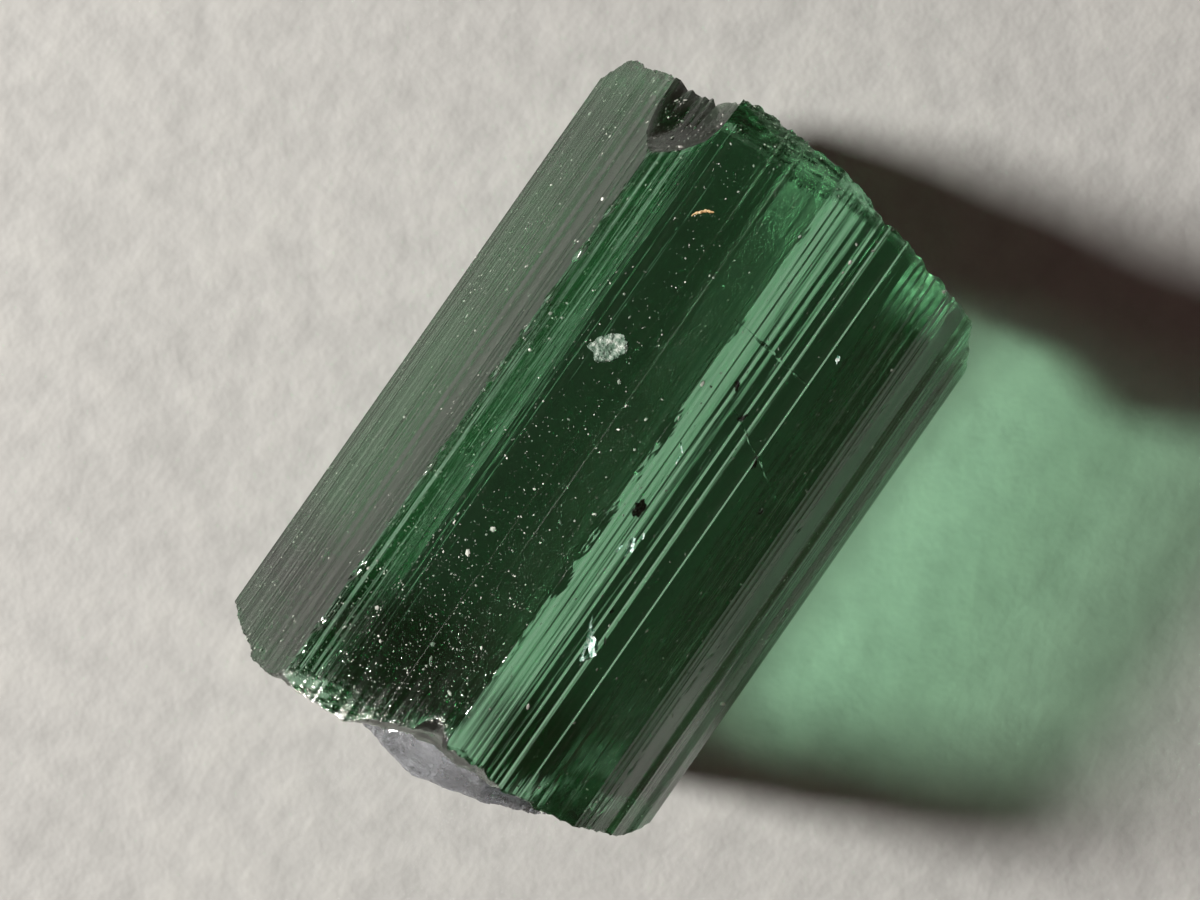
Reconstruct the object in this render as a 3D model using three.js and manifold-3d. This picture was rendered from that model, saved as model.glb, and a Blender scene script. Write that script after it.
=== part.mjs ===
// A short crystal of green tourmaline, lying on one of its long prism faces.
// Millimetres, +Z up, the long axis along +X, the origin on the ground under the middle of the crystal.

import * as THREE from "three";
import { mergeVertices } from "three/addons/utils/BufferGeometryUtils.js";
import { ConvexGeometry } from "three/addons/geometries/ConvexGeometry.js";
import Module from "manifold-3d";

const wasm = await Module();
wasm.setup();

// Driving dimensions. The section lies in the plane across the long axis: "across" is +Y, "up" is +Z,
// both measured from the middle of the prism. A face's turn is the direction it looks in, in degrees from
// +Y towards +Z, and its reach is its distance from the middle.
const blankLength = 18; // the prism before its two ends break off
const sideFace = { turn: 0, reach: 5.1 };
const lowFlank = { turn: 30, reach: 4.13 };
const darkFace = { turn: 60, reach: 4.24 };
const brightFace = { turn: 120, reach: 4.68 };
const farSide = { turn: 180, reach: 5.1 };
const undercutFace = { turn: 232, reach: 4.3 };
const restingFace = { turn: 270, reach: 4.3 };
const overhangFace = { turn: 300, reach: 4.0 };

// Growth steps, walked from the top ridge down to the far side. Each strip looks along its turn
// and takes up its share of the width.
const growthStrips = [
  { turn: 120, width: 1.28 },
  { turn: 150, width: 0.04 },
  { turn: 122, width: 0.43 },
  { turn: 150, width: 0.04 },
  { turn: 118, width: 1.24 },
  { turn: 136, width: 0.35 },
  { turn: 150, width: 0.36 },
  { turn: 134, width: 0.18 },
  { turn: 152, width: 0.3 },
  { turn: 136, width: 0.19 },
  { turn: 154, width: 0.25 },
];

// Flat breaks, each a plane through a point, facing away from the crystal: [along, across, up].
const topBreaks = [
  { through: [7.42, 0, 0], facing: [1, -0.14, 0.1] },
  { through: [6.35, -4.7, 1], facing: [0.69, -0.72, 0.03] },
  { through: [7.7, 4.5, 1], facing: [0.56, 0.82, 0.04] },
];
const baseBreaks = [
  { through: [-7.22, 0, 0], facing: [-1, -0.163, 0.115] },
  { through: [-7.62, 3.8, 1.9], facing: [-1, 0.15, 0.02] },
  { through: [-6.3, -4.7, 0], facing: [-0.7, -0.7, 0.03] },
];

// Shell-shaped chips: a ball of this radius, centred here, bites into the crystal.
const chips = [
  { centre: [20.2, 1.2, 1.5], radius: 13.2 },
  { centre: [6.85, 3.85, 4.25], radius: 1.95 },
  { centre: [8.25, -3.3, 4.4], radius: 1.75 },
  { centre: [-12.7, -0.2, 2.4], radius: 6 },
  { centre: [-9.1, -0.6, 4.9], radius: 3 },
  { centre: [-8.3, -3.3, -1.2], radius: 2.6 },
  { centre: [-8.9, 3.2, 3.9], radius: 1.9 },
  { centre: [-6.25, 0.05, 5.4], radius: 0.62 },
  { centre: [1.03, -0.45, 5.72], radius: 0.66 },
  { centre: [-0.99, -0.4, 5.6], radius: 0.52 },
  { centre: [-2.31, -0.5, 5.7], radius: 0.66 },
];

// The pale splinter left standing on the broken base, by its corners.
const splinterCorners = [
  [-6.0, 1.4, 2.2],
  [-6.0, -3.0, 1.8],
  [-6.0, 1.3, -3.2],
  [-6.0, -2.4, -3.0],
  [-7.3, 1.3, 1.8],
  [-7.58, 0.55, 1.5],
  [-7.7, -0.35, 1.1],
  [-7.42, -1.45, 1.2],
  [-6.9, -2.75, 1.2],
  [-7.4, 0.9, -1.9],
  [-7.5, -0.6, -2.3],
  [-6.9, -2.2, -2.2],
];

const cutterSize = 24; // the side of the block that trims a flat break
const chipDetail = 7; // how finely a chip's ball is faceted

const crystalMaterial = new THREE.MeshStandardMaterial({
  color: 0x1f5a38,
  roughness: 0.15,
  metalness: 0,
});

// The plane of a face as a line across the section: cos * across + sin * up = reach.
function lineOf(face) {
  const angle = THREE.MathUtils.degToRad(face.turn);
  return { cos: Math.cos(angle), sin: Math.sin(angle), reach: face.reach };
}

// The corner where two faces of the section meet.
function cornerBetween(faceA, faceB) {
  const a = lineOf(faceA);
  const b = lineOf(faceB);
  const spread = a.cos * b.sin - a.sin * b.cos;
  const across = (a.reach * b.sin - b.reach * a.sin) / spread;
  const up = (a.cos * b.reach - b.cos * a.reach) / spread;
  return new THREE.Vector2(across, up);
}

// The corners left by the growth strips, going down from the top ridge.
function stripCorners(ridge) {
  const corners = [];
  let corner = ridge;
  for (const strip of growthStrips) {
    const fall = strip.width / Math.tan(THREE.MathUtils.degToRad(strip.turn));
    corner = new THREE.Vector2(corner.x - strip.width, corner.y + fall);
    corners.push(corner);
  }
  return corners;
}

// The nine-sided outline, counter-clockwise from the bottom of the low flank.
function sectionCorners() {
  const ridge = cornerBetween(darkFace, brightFace);
  return [
    cornerBetween(sideFace, lowFlank),
    cornerBetween(lowFlank, darkFace),
    ridge,
    ...stripCorners(ridge),
    cornerBetween(farSide, undercutFace),
    cornerBetween(undercutFace, restingFace),
    cornerBetween(restingFace, overhangFace),
    cornerBetween(overhangFace, sideFace),
  ];
}

// A solid for joining and cutting, made from any closed geometry.
function solidOf(geometry) {
  geometry.deleteAttribute("normal");
  geometry.deleteAttribute("uv");
  const merged = mergeVertices(geometry);
  const mesh = new wasm.Mesh({
    numProp: 3,
    vertProperties: new Float32Array(merged.attributes.position.array),
    triVerts: new Uint32Array(merged.index.array),
  });
  return new wasm.Manifold(mesh);
}

// The unbroken prism, extruded along Z and then laid down along X.
function prismBlank() {
  const outline = new THREE.Shape(sectionCorners());
  const geometry = new THREE.ExtrudeGeometry(outline, { depth: blankLength, bevelEnabled: false });
  geometry.translate(0, 0, -blankLength / 2);
  const layDown = new THREE.Matrix4().makeBasis(
    new THREE.Vector3(0, 1, 0),
    new THREE.Vector3(0, 0, 1),
    new THREE.Vector3(1, 0, 0),
  );
  geometry.applyMatrix4(layDown);
  return solidOf(geometry);
}

// Everything beyond the plane of a flat break.
function breakBlock(flatBreak) {
  const facing = new THREE.Vector3(...flatBreak.facing).normalize();
  const turn = new THREE.Quaternion().setFromUnitVectors(new THREE.Vector3(1, 0, 0), facing);
  const geometry = new THREE.BoxGeometry(cutterSize, cutterSize, cutterSize);
  geometry.translate(cutterSize / 2, 0, 0);
  geometry.applyQuaternion(turn);
  geometry.translate(...flatBreak.through);
  return solidOf(geometry);
}

// The ball that leaves one shell-shaped chip.
function chipBall(chip) {
  const geometry = new THREE.IcosahedronGeometry(chip.radius, chipDetail);
  geometry.translate(...chip.centre);
  return solidOf(geometry);
}

function paleSplinter() {
  const corners = splinterCorners.map((corner) => new THREE.Vector3(...corner));
  return solidOf(new ConvexGeometry(corners));
}

function brokenCrystal() {
  let crystal = prismBlank();
  for (const flatBreak of [...topBreaks, ...baseBreaks]) {
    crystal = crystal.subtract(breakBlock(flatBreak));
  }
  for (const chip of chips) {
    crystal = crystal.subtract(chipBall(chip));
  }
  return crystal.add(paleSplinter());
}

// The finished solid as a geometry whose lowest point is at height 0 and whose box is centred on the origin.
function crystalGeometry() {
  const mesh = brokenCrystal().getMesh();
  const geometry = new THREE.BufferGeometry();
  geometry.setAttribute("position", new THREE.BufferAttribute(new Float32Array(mesh.vertProperties), 3));
  geometry.setIndex(new THREE.BufferAttribute(new Uint32Array(mesh.triVerts), 1));
  geometry.computeBoundingBox();
  const { min, max } = geometry.boundingBox;
  geometry.translate(-(min.x + max.x) / 2, -(min.y + max.y) / 2, -min.z);
  geometry.computeVertexNormals();
  return geometry;
}

const crystal = new THREE.Mesh(crystalGeometry(), crystalMaterial);
crystal.name = "tourmaline_crystal";

const part = new THREE.Group();
part.add(crystal);

export default part;
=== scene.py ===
import math
import bmesh
import bpy
import numpy as np
from mathutils import Matrix, Vector, noise
from mathutils.geometry import delaunay_2d_cdt


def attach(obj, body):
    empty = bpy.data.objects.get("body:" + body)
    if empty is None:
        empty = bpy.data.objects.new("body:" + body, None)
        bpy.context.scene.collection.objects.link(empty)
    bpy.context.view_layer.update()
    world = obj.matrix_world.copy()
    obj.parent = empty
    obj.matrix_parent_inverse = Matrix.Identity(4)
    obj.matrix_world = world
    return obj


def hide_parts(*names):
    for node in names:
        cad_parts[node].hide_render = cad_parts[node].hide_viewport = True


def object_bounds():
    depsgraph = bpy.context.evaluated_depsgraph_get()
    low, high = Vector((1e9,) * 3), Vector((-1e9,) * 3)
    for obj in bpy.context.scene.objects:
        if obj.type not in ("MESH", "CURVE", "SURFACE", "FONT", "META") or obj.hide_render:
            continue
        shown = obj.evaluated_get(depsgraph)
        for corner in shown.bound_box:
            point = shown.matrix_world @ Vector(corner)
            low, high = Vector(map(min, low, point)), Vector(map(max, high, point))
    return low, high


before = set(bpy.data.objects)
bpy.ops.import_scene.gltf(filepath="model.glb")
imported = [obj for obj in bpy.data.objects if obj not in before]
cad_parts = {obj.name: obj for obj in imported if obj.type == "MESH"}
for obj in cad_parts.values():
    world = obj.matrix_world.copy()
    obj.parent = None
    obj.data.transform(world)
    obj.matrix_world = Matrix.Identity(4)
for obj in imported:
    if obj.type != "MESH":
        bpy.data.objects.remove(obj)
cadLow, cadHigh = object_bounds()
scene = bpy.context.scene
mm = 0.001  # the shapes below are worked out in millimetres and scaled when they become meshes


def srgb(hexText):
    # turns an sRGB hex colour into the linear one that the shaders use
    channels = [int(hexText[i:i + 2], 16) / 255 for i in (1, 3, 5)]
    linear = [c / 12.92 if c <= 0.04045 else ((c + 0.055) / 1.055) ** 2.4 for c in channels]
    return (*linear, 1.0)


def addNode(tree, kind, inputs=None, **settings):
    # one node with its settings; an input that is another node's output is linked, anything else is a value
    node = tree.nodes.new(kind)
    for name, value in settings.items():
        setattr(node, name, value)
    for key, value in (inputs or {}).items():
        if isinstance(value, bpy.types.NodeSocket):
            tree.links.new(value, node.inputs[key])
        else:
            node.inputs[key].default_value = value
    return node


def maths(tree, operation, a, b=0.0, c=0.0):
    return addNode(tree, "ShaderNodeMath", {0: a, 1: b, 2: c}, operation=operation).outputs[0]


def setRamp(node, stops):
    ramp = node.color_ramp
    while len(ramp.elements) > 1:
        ramp.elements.remove(ramp.elements[-1])
    ramp.elements[0].position = stops[0][0]
    ramp.elements[0].color = stops[0][1]
    for place, colour in stops[1:]:
        ramp.elements.new(place).color = colour


def newMaterial(name):
    material = bpy.data.materials.new(name)
    material.use_nodes = True
    tree = material.node_tree
    return material, tree, tree.nodes["Principled BSDF"], tree.nodes["Material Output"]


def mottledMaterial(name, mottle, tones, gloss, bumps=None):
    # an opaque finish whose colour follows one fine mottle, and its roughness and relief too where asked
    material, tree, shader, output = newMaterial(name)
    coords = addNode(tree, "ShaderNodeTexCoord")
    tone = addNode(tree, "ShaderNodeTexNoise", {"Vector": coords.outputs["Object"], **mottle})
    ramp = addNode(tree, "ShaderNodeValToRGB", {"Fac": tone.outputs["Fac"]})
    setRamp(ramp, [(place, srgb(colour)) for place, colour in tones])
    tree.links.new(ramp.outputs["Color"], shader.inputs["Base Color"])
    if isinstance(gloss, dict):
        rough = addNode(tree, "ShaderNodeMapRange", {"Value": tone.outputs["Fac"], **gloss})
        tree.links.new(rough.outputs["Result"], shader.inputs["Roughness"])
    else:
        shader.inputs["Roughness"].default_value = gloss
    if bumps:
        bump = addNode(tree, "ShaderNodeBump", {"Height": tone.outputs["Fac"], **bumps})
        tree.links.new(bump.outputs["Normal"], shader.inputs["Normal"])
    return material, shader


def meshPiece(name, points, faces, material):
    mesh = bpy.data.meshes.new(name)
    mesh.from_pydata([tuple(float(c) * mm for c in p) for p in points], [], faces)
    mesh.materials.append(material)
    mesh.update()
    piece = bpy.data.objects.new(name, mesh)
    scene.collection.objects.link(piece)
    return piece


def faceOutwards(mesh):
    shape = bmesh.new()
    shape.from_mesh(mesh)
    bmesh.ops.recalc_face_normals(shape, faces=shape.faces)
    shape.to_mesh(mesh)
    shape.free()


def bakeNodes(piece, tree, values):
    # runs a Geometry Nodes tree on a piece with the named inputs set, and keeps the result as a plain mesh
    modifier = piece.modifiers.new("nodes", "NODES")
    modifier.node_group = tree
    for item in tree.interface.items_tree:
        if item.in_out == "INPUT" and item.name in values:
            modifier[item.identifier] = values[item.name]
    bpy.context.view_layer.update()
    graph = bpy.context.evaluated_depsgraph_get()
    result = bpy.data.meshes.new_from_object(piece.evaluated_get(graph), depsgraph=graph)
    piece.modifiers.remove(modifier)
    old = piece.data
    piece.data = result
    result.name = old.name + "Mesh"
    bpy.data.meshes.remove(old)
    return piece


def newTree(name, sockets):
    tree = bpy.data.node_groups.new(name, "GeometryNodeTree")
    tree.interface.new_socket("Geometry", in_out="INPUT", socket_type="NodeSocketGeometry")
    tree.interface.new_socket("Geometry", in_out="OUTPUT", socket_type="NodeSocketGeometry")
    for label, kind in sockets:
        tree.interface.new_socket(label, in_out="INPUT", socket_type="NodeSocket" + kind)
    start = tree.nodes.new("NodeGroupInput")
    end = tree.nodes.new("NodeGroupOutput")
    return tree, start, end


view = {
    "distance": 35.0,       # mm above the ground; the lens is close, so the top edges spread outwards
    "fieldWidth": 25.8,     # mm across the view at the focus height
    "focusHeight": 5.0,
    "roll": 55.0,           # the long axis stands this many degrees above the picture's horizontal
    "aim": (0.02, 0.336),   # the ground point straight below the lens
    "sensor": 36.0,
}


def buildCamera():
    data = bpy.data.cameras.new("camera")
    data.sensor_width = view["sensor"]
    data.lens = view["sensor"] * (view["distance"] - view["focusHeight"]) / view["fieldWidth"]
    data.clip_start = 0.001
    data.clip_end = 10
    camera = bpy.data.objects.new("camera", data)
    scene.collection.objects.link(camera)
    turn = math.radians(view["roll"])
    right = Vector((math.cos(turn), -math.sin(turn), 0))
    upward = Vector((math.sin(turn), math.cos(turn), 0))
    place = Vector((view["aim"][0], view["aim"][1], view["distance"])) * mm
    camera.matrix_world = Matrix((
        (right.x, upward.x, 0, place.x),
        (right.y, upward.y, 0, place.y),
        (0, 0, 1, place.z),
        (0, 0, 0, 1),
    ))
    scene.camera = camera
    return right, upward


studio = {
    "lampBearing": 170.0,   # degrees from the picture's right, counter-clockwise
    "lampHeight": 31.0,     # degrees above the ground
    "lampDistance": 0.26,   # metres
    "lampRadius": 5.5,      # half the angle that the lamp fills, in degrees
    "lampStrength": 1.22,
    "lampColour": "#fffaf3",
    "skyColour": "#ba8e88",
    "skyStrength": 0.085,
    "horizonColour": "#dab4aa",
    "horizonStrength": 0.24,
    "horizonTop": (0.04, 0.24),  # the height, as a sine, where the pale horizon starts and stops fading
    "floorSize": 3.0,       # metres
}


def buildStudio(right, upward):
    bearing = math.radians(studio["lampBearing"])
    height = math.radians(studio["lampHeight"])
    level = right * math.cos(bearing) + upward * math.sin(bearing)
    toLamp = level * math.cos(height) + Vector((0, 0, 1)) * math.sin(height)
    data = bpy.data.lights.new("softLamp", "AREA")
    data.shape = "DISK"
    data.size = 2 * studio["lampDistance"] * math.tan(math.radians(studio["lampRadius"]))
    data.energy = studio["lampStrength"] * 4 * math.pi * studio["lampDistance"] ** 2
    data.color = srgb(studio["lampColour"])[:3]
    lamp = bpy.data.objects.new("softLamp", data)
    lamp.location = toLamp * studio["lampDistance"]
    lamp.rotation_euler = (-toLamp).to_track_quat("-Z", "Y").to_euler()
    scene.collection.objects.link(lamp)

    world = bpy.data.worlds.new("paleStudio")
    scene.world = world
    world.use_nodes = True
    tree = world.node_tree
    background = tree.nodes["Background"]
    coords = addNode(tree, "ShaderNodeTexCoord")
    split = addNode(tree, "ShaderNodeSeparateXYZ", {0: coords.outputs["Generated"]})
    level = addNode(tree, "ShaderNodeMapRange", {
        "Value": split.outputs["Z"],
        "From Min": studio["horizonTop"][0], "From Max": studio["horizonTop"][1],
    }, interpolation_type="SMOOTHSTEP")
    sky = [c * studio["skyStrength"] for c in srgb(studio["skyColour"])[:3]] + [1]
    horizon = [c * studio["horizonStrength"] for c in srgb(studio["horizonColour"])[:3]] + [1]
    blend = addNode(tree, "ShaderNodeMix", {
        "Factor": level.outputs["Result"], 6: horizon, 7: sky,
    }, data_type="RGBA")
    tree.links.new(blend.outputs[2], background.inputs["Color"])


def paperMaterial():
    # uncoated drawing paper: matt, with a cloudy mottle half a millimetre across and soft low fibres
    material, tree, shader, output = newMaterial("uncoatedDrawingPaper")
    coords = addNode(tree, "ShaderNodeTexCoord")
    mottle = addNode(tree, "ShaderNodeTexNoise", {
        "Vector": coords.outputs["Object"], "Scale": 900.0, "Detail": 3.0, "Roughness": 0.55,
    })
    broad = addNode(tree, "ShaderNodeTexNoise", {
        "Vector": coords.outputs["Object"], "Scale": 160.0, "Detail": 2.0,
    })
    mixed = addNode(tree, "ShaderNodeMix", {
        "Factor": 0.35, 2: mottle.outputs["Fac"], 3: broad.outputs["Fac"],
    }, data_type="FLOAT")
    tone = addNode(tree, "ShaderNodeValToRGB", {"Fac": mixed.outputs[0]})
    setRamp(tone, [(0.3, srgb("#c6c8c7")), (0.5, srgb("#d3d5d4")), (0.7, srgb("#dcdedc"))])
    bump = addNode(tree, "ShaderNodeBump", {
        "Strength": 0.5, "Distance": 0.00011, "Height": mottle.outputs["Fac"],
    })
    tree.links.new(tone.outputs["Color"], shader.inputs["Base Color"])
    tree.links.new(bump.outputs["Normal"], shader.inputs["Normal"])
    shader.inputs["Roughness"].default_value = 0.95
    shader.inputs["Specular IOR Level"].default_value = 0.1
    return material


def buildFloor():
    half = studio["floorSize"] / 2 / mm
    corners = [(-half, -half, 0), (half, -half, 0), (half, half, 0), (-half, half, 0)]
    floor = meshPiece("paperFloor", corners, [(0, 1, 2, 3)], paperMaterial())


pictureRight, pictureUp = buildCamera()
buildStudio(pictureRight, pictureUp)
buildFloor()
print("stage ready")


# "across" is +Y and "up" is +Z from the middle of the prism; a face's turn is the way it looks, in degrees
# from across towards up, and its reach is its distance from the middle, in millimetres
prism = {
    "sideFace": (0, 5.1),
    "lowFlank": (30, 4.13),
    "darkFace": (60, 4.24),
    "brightFace": (120, 4.68),
    "farSide": (180, 5.1),
    "undercutFace": (232, 4.3),
    "restingFace": (270, 4.3),
    "overhangFace": (300, 4.0),
    # growth strips from the top ridge down to the far side: the way each looks and its share of the width
    "growthStrips": [
        (120, 1.28), (150, 0.04), (122, 0.43), (150, 0.04), (118, 1.24), (136, 0.35),
        (150, 0.36), (134, 0.18), (152, 0.3), (136, 0.19), (154, 0.25),
    ],
    "upperPointsPerMm": 27,
    "lowerPointsPerMm": 11,
    "rows": 118,
    "capSpacing": 0.096,
    "underShade": 0.94,     # how much lamp light the underside keeps off the paper below it
    "groundGap": 0.012,     # the resting face's roughness keeps it this far off the paper
}

# a plane through a point, facing away from the crystal, or a ball that bites out a shell-shaped chip
topEnd = {
    "planes": [
        ((7.42, 0, 0), (1, -0.14, 0.1)),
        ((6.35, -4.7, 1), (0.69, -0.72, 0.03)),
        ((7.7, 4.5, 1), (0.56, 0.82, 0.04)),
    ],
    "balls": [
        ((20.2, 1.2, 1.5), 13.2),
        ((6.85, 3.85, 4.25), 1.95),
        ((8.25, -3.3, 4.4), 1.75),
    ],
}
baseEnd = {
    "planes": [
        ((-7.22, 0, 0), (-1, -0.163, 0.115)),
        ((-7.62, 3.8, 1.9), (-1, 0.15, 0.02)),
        ((-6.3, -4.7, 0), (-0.7, -0.7, 0.03)),
    ],
    "balls": [
        ((-12.7, -0.2, 2.4), 6.0),
        ((-9.1, -0.6, 4.9), 3.0),
        ((-8.3, -3.3, -1.2), 2.6),
        ((-8.9, 3.2, 3.9), 1.9),
        ((-6.25, 0.05, 5.4), 0.62),
    ],
}
# shell-shaped chips that bite into the prism's long edges
edgeChips = [
    ((1.03, -0.45, 5.72), 0.66),
    ((-0.99, -0.4, 5.6), 0.52),
    ((-2.31, -0.5, 5.7), 0.66),
]


def cornerBetween(faceA, faceB):
    a, b = math.radians(faceA[0]), math.radians(faceB[0])
    spread = math.sin(b - a)
    across = (faceA[1] * math.sin(b) - faceB[1] * math.sin(a)) / spread
    up = (faceB[1] * math.cos(a) - faceA[1] * math.cos(b)) / spread
    return (across, up)


def prismCorners():
    # the corners of the section, each with how deeply the side that starts there is striated
    ridge = cornerBetween(prism["darkFace"], prism["brightFace"])
    corners = [
        (cornerBetween(prism["sideFace"], prism["lowFlank"]), 0.7),
        (cornerBetween(prism["lowFlank"], prism["darkFace"]), 0.8),
        (ridge, 1.0),
    ]
    across, up = ridge
    for k, (turn, width) in enumerate(prism["growthStrips"]):
        across -= width
        up += width / math.tan(math.radians(turn))
        corners.append(((across, up), 1.0 if k < 4 else 0.55))
    corners += [
        (cornerBetween(prism["farSide"], prism["undercutFace"]), 0.8),
        (cornerBetween(prism["undercutFace"], prism["restingFace"]), 0.25),
        (cornerBetween(prism["restingFace"], prism["overhangFace"]), 0.6),
        (cornerBetween(prism["overhangFace"], prism["sideFace"]), 0.8),
    ]
    return corners


def endSurface(end, across, up, outwardSign):
    # how far along the crystal this end reaches at a point of the section, before its fine relief
    reach = 1e9
    for through, facing in end["planes"]:
        rise = facing[1] * (across - through[1]) + facing[2] * (up - through[2])
        reach = min(reach, outwardSign * (through[0] - rise / facing[0]))
    for centre, radius in end["balls"]:
        inside = radius ** 2 - (across - centre[1]) ** 2 - (up - centre[2]) ** 2
        if inside > 0:
            reach = min(reach, outwardSign * centre[0] - math.sqrt(inside))
    return outwardSign * reach


relief = {
    "broad": 0.15,          # mm, the slow waves of the break
    "broadPerMm": 0.6,
    "torn": 0.09,           # mm, the torn lines
    "tornPerMm": 1.9,
    "grain": 0.045,         # mm, the hackly grain
    "grainPerMm": 5.5,
    "ripple": 0.018,        # mm, the shell rings
    "ringsPerMm": 2.2,
}


def reliefAt(across, up, seed):
    place = Vector((across, up, seed))
    broad = noise.fractal(place * relief["broadPerMm"], 0.9, 2.1, 3)
    torn = noise.ridged_multi_fractal(place * relief["tornPerMm"], 0.9, 2.1, 4, 0.9, 2.0) - 1.2
    grain = noise.fractal(place * relief["grainPerMm"], 0.8, 2.1, 2)
    ring = math.sin((place - Vector((3.4, 1.5, seed))).length * relief["ringsPerMm"] * 2 * math.pi)
    total = relief["broad"] * broad + relief["torn"] * torn
    return total + relief["grain"] * grain + relief["ripple"] * ring


def topReach(across, up):
    return endSurface(topEnd, across, up, 1) - abs(reliefAt(across, up, 3.7)) * 0.8


def baseReach(across, up):
    return endSurface(baseEnd, across, up, -1) + abs(reliefAt(across, up, 9.1)) * 0.8


def sampledOutline():
    # points round the section, each with its place along the outline, the way out and its striation depth
    corners = prismCorners()
    count = len(corners)
    sides = []
    for k in range(count):
        (start, depth), (stop, _) = corners[k], corners[(k + 1) % count]
        length = math.dist(start, stop)
        out = ((stop[1] - start[1]) / length, -(stop[0] - start[0]) / length)
        sides.append((start, stop, length, out, depth))
    points = []
    gone = 0.0
    for k, (start, stop, length, out, depth) in enumerate(sides):
        density = prism["upperPointsPerMm"] if out[1] > 0.05 else prism["lowerPointsPerMm"]
        steps = max(1, round(density * length))
        before = sides[k - 1]
        for i in range(steps):
            t = i / steps
            outward, strength = out, depth
            if i == 0:
                outward = Vector((out[0] + before[3][0], out[1] + before[3][1])).normalized()
                strength = 0.5 * (depth + before[4])
            points.append({
                "across": start[0] + (stop[0] - start[0]) * t,
                "up": start[1] + (stop[1] - start[1]) * t,
                "around": gone + length * t,
                "outward": (outward[0], outward[1]),
                "strength": strength,
            })
        gone += length
    return points


def gridInside(ring, spacing, seed):
    # a jittered grid of points inside an outline, kept clear of its edge
    ring = np.array(ring)
    rng = np.random.default_rng(seed)
    low, high = ring.min(0), ring.max(0)
    rowHeight = spacing * math.sqrt(3) / 2
    grid = []
    for row in range(int((high[1] - low[1]) / rowHeight) + 1):
        shift = spacing / 2 * (row % 2)
        for column in range(int((high[0] - low[0]) / spacing) + 1):
            grid.append((low[0] + shift + column * spacing, low[1] + row * rowHeight))
    grid = np.array(grid) + rng.uniform(-0.2, 0.2, (len(grid), 2)) * spacing
    inside = np.zeros(len(grid), bool)
    nearest = np.full(len(grid), 1e9)
    for a, b in zip(ring, np.roll(ring, -1, 0)):
        crosses = (a[1] > grid[:, 1]) != (b[1] > grid[:, 1])
        rise = b[1] - a[1]
        if abs(rise) > 1e-12:
            meet = a[0] + (grid[:, 1] - a[1]) * (b[0] - a[0]) / rise
            inside ^= crosses & (grid[:, 0] < meet)
        nearest = np.minimum(nearest, np.hypot(grid[:, 0] - a[0], grid[:, 1] - a[1]))
    return grid[inside & (nearest > 0.6 * spacing)]


def fillOutline(ring, spacing, seed):
    # triangles that fill an outline: their points, corners, and each point's place in the ring or None
    flat = [Vector(p) for p in ring] + [Vector(p) for p in gridInside(ring, spacing, seed)]
    edges = [(i, (i + 1) % len(ring)) for i in range(len(ring))]
    points, _, triangles, origins, _, _ = delaunay_2d_cdt(flat, edges, [], 1, 1e-7)
    inRing = [o[0] if o and o[0] < len(ring) else None for o in origins]
    return points, triangles, inRing


def slabShape(ring, spacing, seed, nearAt, farAt, place):
    # a thin closed body between two height fields that meet at its rim
    flat, triangles, inRing = fillOutline(ring, spacing, seed)
    points, nearIndex, farIndex = [], [], []
    for vert, ringPlace in zip(flat, inRing):
        near, far = nearAt(vert.x, vert.y), farAt(vert.x, vert.y)
        if ringPlace is not None:
            points.append(place(vert.x, vert.y, (near + far) / 2))
            nearIndex.append(len(points) - 1)
            farIndex.append(len(points) - 1)
            continue
        nearIndex.append(len(points))
        farIndex.append(len(points) + 1)
        points += [place(vert.x, vert.y, near), place(vert.x, vert.y, far)]
    faces = [tuple(nearIndex[k] for k in t) for t in triangles]
    faces += [tuple(farIndex[k] for k in reversed(t)) for t in triangles]
    return points, faces


def raggedRing(centre, halfWidth, halfHeight, seed, ragged=0.25, count=40):
    # an uneven closed outline round a point
    ring = []
    for k in range(count):
        angle = 2 * math.pi * k / count
        wave = noise.noise(Vector((math.cos(angle) * 1.7, math.sin(angle) * 1.7, seed)))
        wave += 0.35 * noise.noise(Vector((math.cos(angle) * 4, math.sin(angle) * 4, seed + 9)))
        grow = 1 + ragged * wave * 1.6
        ring.append((
            centre[0] + halfWidth * grow * math.cos(angle),
            centre[1] + halfHeight * grow * math.sin(angle),
        ))
    return ring


# small chips missing along the long edges: which corner, from where to where, how deep and wide
edgeNicks = [
    {"corner": 2, "from": -3.4, "to": 1.4, "depth": 0.09, "width": 0.15, "perMm": 2.6},
    {"corner": 2, "from": -6.6, "to": 6.9, "depth": 0.03, "width": 0.07, "perMm": 3.5},
    {"corner": 1, "from": -7.6, "to": 7.0, "depth": 0.055, "width": 0.10, "perMm": 2.9},
    {"corner": 8, "from": -6.2, "to": 6.4, "depth": 0.03, "width": 0.07, "perMm": 2.1},
    {"corner": 12, "from": -6.0, "to": 6.0, "depth": 0.04, "width": 0.08, "perMm": 1.7},
]


def bittenPlace(along, p, corners):
    # a side point after the nicks and chips along the long edges have taken their bite
    across, up = p["across"], p["up"]
    out = p["outward"]
    bite = 0.0
    for nick in edgeNicks:
        gap = math.dist((across, up), corners[nick["corner"]])
        if gap < nick["width"] and nick["from"] < along < nick["to"]:
            depth = noise.noise(Vector((along * nick["perMm"], nick["corner"] * 7.3, 0.5)))
            depth += 0.5 * noise.noise(Vector((along * nick["perMm"] * 3, gap * 9, 4.1)))
            bite = max(bite, (depth - 0.05) * nick["depth"] * 2 * (1 - gap / nick["width"]))
    for centre, radius in edgeChips:
        toPoint = Vector((along, across, up)) - Vector(centre)
        if toPoint.length < radius:
            outSide = toPoint.y * out[0] + toPoint.z * out[1]
            rough = 1 + 0.12 * noise.noise(Vector((along * 6, across * 6, up * 6)))
            reach = math.sqrt(outSide ** 2 + radius ** 2 - toPoint.length_squared)
            bite = max(bite, (outSide + reach) * rough)
    return across - out[0] * bite, up - out[1] * bite, bite


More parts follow.
